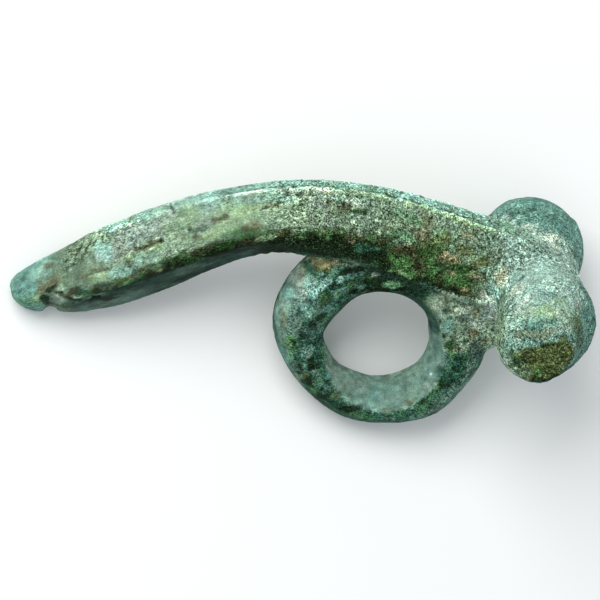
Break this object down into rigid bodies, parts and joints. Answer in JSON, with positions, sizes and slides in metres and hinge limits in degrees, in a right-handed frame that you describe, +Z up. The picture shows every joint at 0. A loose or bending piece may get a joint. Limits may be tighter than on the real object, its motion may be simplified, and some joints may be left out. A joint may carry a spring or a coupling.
{
  "type": "phallic pendant",
  "caption": "Cast bronze phallic pendant: an arched shaft with a nicked glans, testicles on a cross bar and a hanging ring under the middle, lying on its side.",
  "frame": {"origin": "under the middle of the lying pendant's box, on the surface that it lies on", "axes": "+X runs along the shaft from the glans to the testicles, +Z is up, and the hanging ring is towards -Y"},
  "size_m": [0.0596, 0.0254, 0.0241],
  "materials": {
    "bronze": "corroded, green patina"
  },
  "bodies": {
    "root": {"phallic_pendant": "bronze"}
  },
  "joints": []
}
